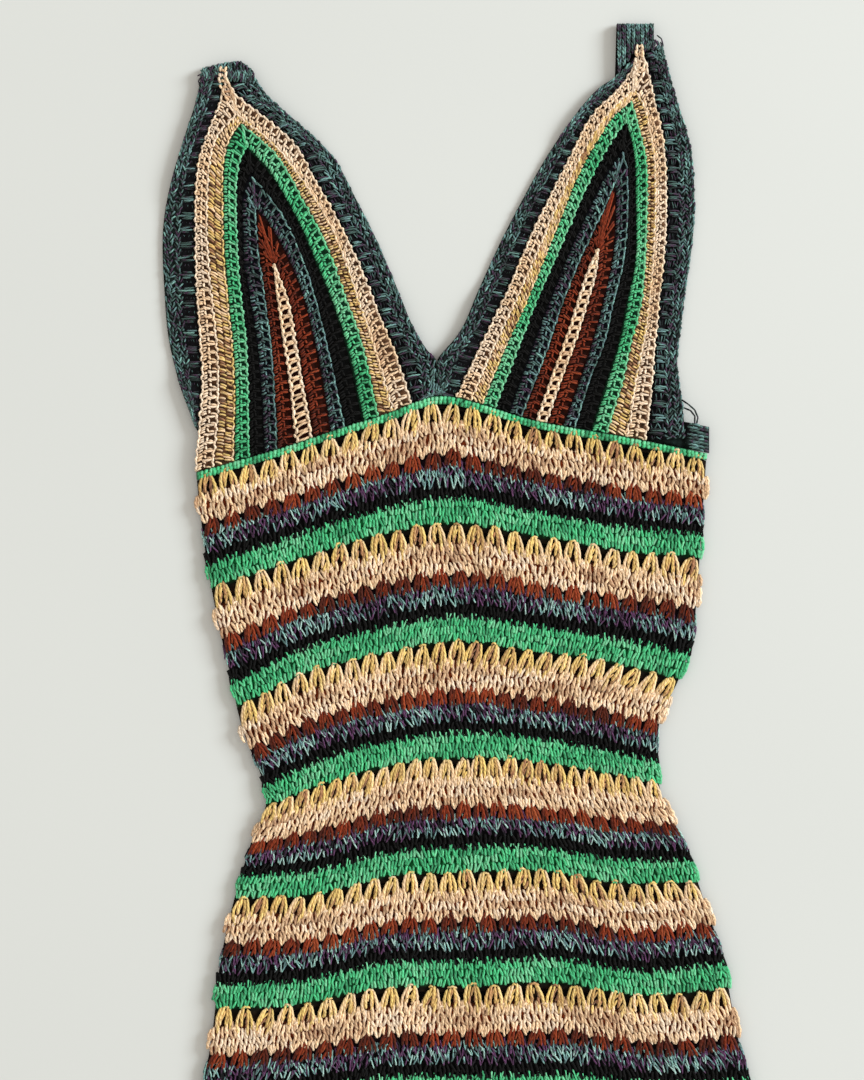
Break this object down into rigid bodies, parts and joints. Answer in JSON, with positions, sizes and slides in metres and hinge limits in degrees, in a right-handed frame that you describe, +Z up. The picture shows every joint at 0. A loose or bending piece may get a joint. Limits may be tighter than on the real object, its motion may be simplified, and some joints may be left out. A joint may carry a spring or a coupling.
{
  "type": "crochet maxi dress",
  "caption": "Sleeveless striped crochet maxi dress with two triangle cups, ribbed bands and straps, laid flat on its back.",
  "frame": {"origin": "centre of the dress's underside, on the surface it lies on", "axes": "+X to the right as the front is seen from above, +Y towards the shoulders, +Z up out of the front"},
  "size_m": [0.499, 1.3624, 0.0086],
  "materials": {
    "striped_crochet": "cotton crochet in stripes of yellow, cream, rust, marl, black and green",
    "green_trim": "green cotton crochet",
    "cup_crochet": "cotton double crochet in narrow rows of six colours",
    "marl_rib": "teal and navy marl yarn in a close rib"
  },
  "bodies": {
    "root": {"front_body": "striped_crochet", "back_body": "striped_crochet", "underbust_trim": "green_trim", "cup_left": "cup_crochet", "cup_right": "cup_crochet", "neck_band_left": "marl_rib", "neck_band_right": "marl_rib", "armhole_band_left": "marl_rib", "armhole_band_right": "marl_rib", "strap_left": "marl_rib", "strap_right": "marl_rib", "back_top_band": "marl_rib"}
  },
  "joints": []
}
